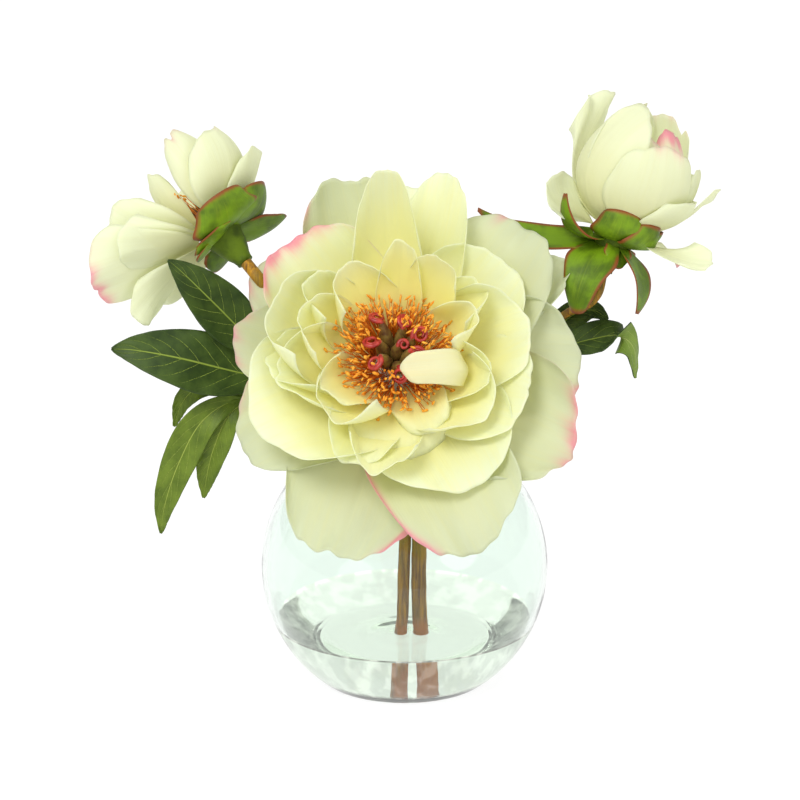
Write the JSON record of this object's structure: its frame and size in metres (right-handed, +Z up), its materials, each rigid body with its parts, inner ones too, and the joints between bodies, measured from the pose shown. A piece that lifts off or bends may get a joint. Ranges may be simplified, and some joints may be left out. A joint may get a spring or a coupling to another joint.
{
  "type": "peonies in a vase",
  "caption": "Cream peonies, one wide open, one half open and one in bud, with leaves, standing in shallow water in a round clear glass bowl vase.",
  "frame": {"origin": "centre of the vase's flat foot", "axes": "+Z up; -Y towards the side that the full bloom faces"},
  "size_m": [0.2477, 0.1427, 0.2412],
  "materials": {
    "glass": "clear, polished",
    "water": "clear, still",
    "petal": "satin, slightly translucent",
    "stamen": "matte",
    "carpel": "satin",
    "calyx": "satin",
    "leaf": "satin, paler veins",
    "stem": "matte"
  },
  "bodies": {
    "root": {"glass_vase": "glass", "left_stem": "stem", "right_stem": "stem", "bud_branch": "stem", "water": "water", "left_leaf_upper": "leaf", "left_leaf_broad": "leaf", "left_leaf_long": "leaf", "right_leaf_back": "leaf", "right_leaf_front": "leaf", "main_calyx": "calyx", "main_guard_petal_1": "petal", "main_guard_petal_2": "petal", "main_guard_petal_3": "petal", "main_guard_petal_4": "petal", "main_guard_petal_5": "petal", "main_guard_petal_6": "petal", "main_guard_petal_7": "petal", "main_guard_petal_8": "petal", "main_guard_petal_9": "petal", "main_middle_petal_1": "petal", "main_middle_petal_2": "petal", "main_middle_petal_3": "petal", "main_middle_petal_4": "petal", "main_middle_petal_5": "petal", "main_middle_petal_6": "petal", "main_middle_petal_7": "petal", "main_middle_petal_8": "petal", "main_middle_petal_9": "petal", "main_middle_petal_10": "petal", "main_inner_petal_1": "petal", "main_inner_petal_2": "petal", "main_inner_petal_3": "petal", "main_inner_petal_4": "petal", "main_inner_petal_5": "petal", "main_inner_petal_6": "petal", "main_inner_petal_7": "petal", "main_inner_petal_8": "petal", "main_inner_petal_9": "petal", "main_inner_petal_10": "petal", "main_stamens": "stamen", "main_carpels": "carpel", "left_calyx": "calyx", "left_petal_1": "petal", "left_petal_2": "petal", "left_petal_3": "petal", "left_petal_4": "petal", "left_petal_5": "petal", "left_petal_6": "petal", "left_petal_7": "petal", "left_petal_8": "petal", "left_stamens": "stamen", "bud_calyx": "calyx", "bud_petal_1": "petal", "bud_petal_2": "petal", "bud_petal_3": "petal", "bud_petal_4": "petal", "bud_petal_5": "petal", "bud_petal_6": "petal", "bud_petal_7": "petal"}
  },
  "joints": []
}
